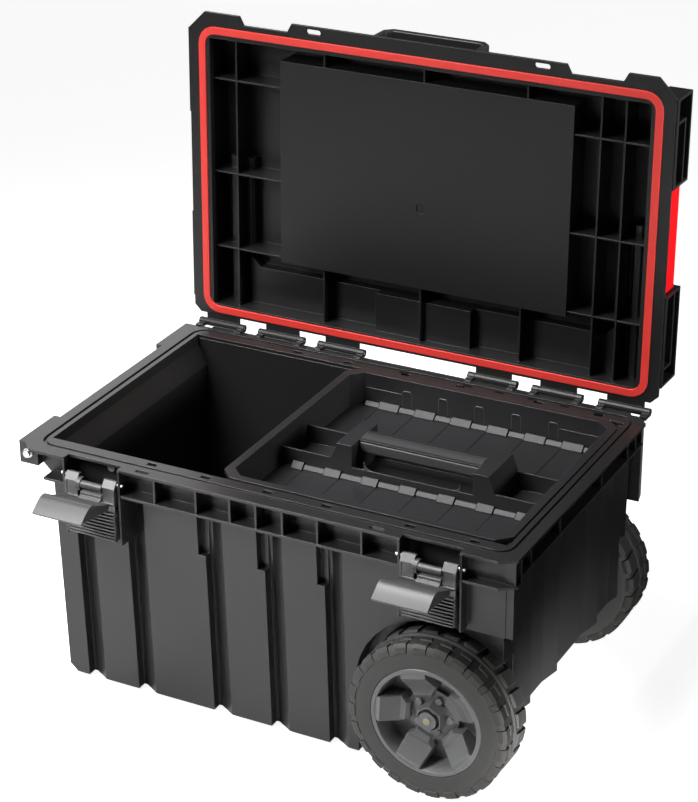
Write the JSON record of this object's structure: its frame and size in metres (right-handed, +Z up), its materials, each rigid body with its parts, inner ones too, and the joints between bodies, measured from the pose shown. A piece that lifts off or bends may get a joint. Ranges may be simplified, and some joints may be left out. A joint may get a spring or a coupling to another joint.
{
  "type": "rolling toolbox",
  "caption": "Deep black tool chest on wheels with a hinged sealed lid, a lift-out tray, draw latches and a tow handle.",
  "frame": {"origin": "on the floor, on the middle skid's underside, straight below the middle of the lid's seal as it lies closed", "axes": "+X along the box towards the wheels, +Y from the latches towards the hinges, +Z up"},
  "size_m": [0.645, 0.5432, 0.728],
  "materials": {
    "tub_plastic": "black moulded polypropylene with a fine texture",
    "zinc_steel": "zinc-plated steel",
    "plug_plastic": "grey moulded plastic",
    "lid_plastic": "black moulded polypropylene with a fine texture",
    "seal_rubber": "bright red soft rubber",
    "handle_plastic": "black moulded plastic, satin",
    "band_plastic": "red moulded plastic, satin",
    "tray_plastic": "black moulded plastic, satin",
    "tyre_rubber": "black moulded rubber",
    "hub_plastic": "dark grey moulded plastic",
    "bushing_plastic": "cream acetal, satin",
    "latch_plastic": "dark grey glass-filled plastic, satin",
    "tow_tube": "black powder-coated steel tube",
    "grip_rubber": "black soft grip"
  },
  "bodies": {
    "tub": {"tub": "tub_plastic", "hinge_pin_1": "zinc_steel", "hinge_pin_2": "zinc_steel", "hinge_pin_3": "zinc_steel", "hinge_pin_4": "zinc_steel", "hinge_pin_5": "zinc_steel", "hinge_pin_6": "zinc_steel", "axle": "zinc_steel", "axle_nut_front": "zinc_steel", "axle_nut_back": "zinc_steel", "latch_pin_left_a": "zinc_steel", "latch_pin_left_b": "zinc_steel", "latch_pin_right_a": "zinc_steel", "latch_pin_right_b": "zinc_steel", "latch_recess_plug": "plug_plastic", "tow_washer_front": "zinc_steel", "tow_washer_back": "zinc_steel", "tow_bolt_front": "zinc_steel", "tow_bolt_back": "zinc_steel"},
    "lid": {"lid": "lid_plastic", "lid_seal": "seal_rubber", "lid_carry_handle": "handle_plastic", "lid_band_left": "band_plastic", "lid_band_right": "band_plastic"},
    "tray": {"tray": "tray_plastic"},
    "wheel_front": {"tyre_front": "tyre_rubber", "wheel_hub_front": "hub_plastic", "axle_bushing_front": "bushing_plastic"},
    "wheel_back": {"tyre_back": "tyre_rubber", "wheel_hub_back": "hub_plastic", "axle_bushing_back": "bushing_plastic"},
    "latch_lever_left": {"latch_lever_left": "latch_plastic", "latch_hook_pin_left": "zinc_steel"},
    "latch_lever_right": {"latch_lever_right": "latch_plastic", "latch_hook_pin_right": "zinc_steel"},
    "latch_hook_left": {"latch_hook_left": "latch_plastic"},
    "latch_hook_right": {"latch_hook_right": "latch_plastic"},
    "tow_handle": {"tow_handle": "tow_tube", "tow_handle_grip": "grip_rubber"}
  },
  "joints": [
    {"name": "lid_hinge", "type": "hinge", "parent": "tub", "child": "lid", "pos_m": [0, 0.2045, 0.3177], "axis": [-1, 0, 0], "range_deg": [-91.6, 0]},
    {"name": "tray_lift", "type": "slide", "parent": "tub", "child": "tray", "axis": [0, 0, 1], "range_m": [0, 0.35]},
    {"name": "latch_lever_left_swing", "type": "hinge", "parent": "tub", "child": "latch_lever_left", "pos_m": [-0.216, -0.202, 0.295], "axis": [1, 0, 0], "range_deg": [-40, 0]},
    {"name": "latch_hook_left_fold", "type": "hinge", "parent": "latch_lever_left", "child": "latch_hook_left", "pos_m": [-0.216, -0.205, 0.281], "axis": [-1, 0, 0], "range_deg": [0, 82]},
    {"name": "latch_lever_right_swing", "type": "hinge", "parent": "tub", "child": "latch_lever_right", "pos_m": [0.216, -0.202, 0.295], "axis": [1, 0, 0], "range_deg": [-40, 0]},
    {"name": "latch_hook_right_fold", "type": "hinge", "parent": "latch_lever_right", "child": "latch_hook_right", "pos_m": [0.216, -0.205, 0.281], "axis": [-1, 0, 0], "range_deg": [0, 82]},
    {"name": "wheel_front_spin", "type": "hinge", "parent": "tub", "child": "wheel_front", "pos_m": [0.218, -0.188, 0.098], "axis": [0, 1, 0], "continuous": true},
    {"name": "wheel_back_spin", "type": "hinge", "parent": "tub", "child": "wheel_back", "pos_m": [0.218, 0.188, 0.098], "axis": [0, 1, 0], "continuous": true},
    {"name": "tow_handle_swing", "type": "hinge", "parent": "tub", "child": "tow_handle", "pos_m": [-0.3118, 0, 0.3024], "axis": [0, 1, 0], "range_deg": [0, 100]}
  ]
}
